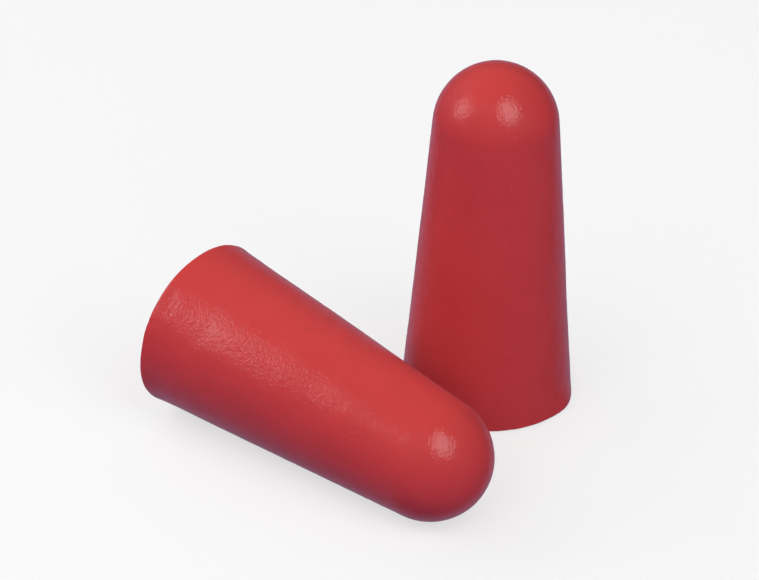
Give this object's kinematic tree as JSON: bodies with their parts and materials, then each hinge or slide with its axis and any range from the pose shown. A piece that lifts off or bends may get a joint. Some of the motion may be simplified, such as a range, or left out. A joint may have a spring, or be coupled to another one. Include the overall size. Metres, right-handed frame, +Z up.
{
  "type": "foam ear plugs",
  "caption": "Uncorded tapered ear plugs of slow-recovery foam, flat at the base and round at the tip, standing on the base and lying on the flank.",
  "frame": {"origin": "centre of the standing plug's flat base, on the level surface that both plugs rest on", "axes": "+Z up, along the standing plug's axis towards its tip; -Y is the front, the side that the lying plug's tip points towards; the lying plug is on the -X side"},
  "size_m": [0.0301, 0.0264, 0.026],
  "materials": {
    "foam": "matte moulded foam skin"
  },
  "bodies": {
    "standing": {"standing_plug": "foam"},
    "lying": {"lying_plug": "foam"}
  },
  "joints": [
    {"name": "lying_plug_lift", "type": "slide", "parent": "standing", "child": "lying", "axis": [0, 0, 1], "range_m": [0, 0.03]}
  ]
}
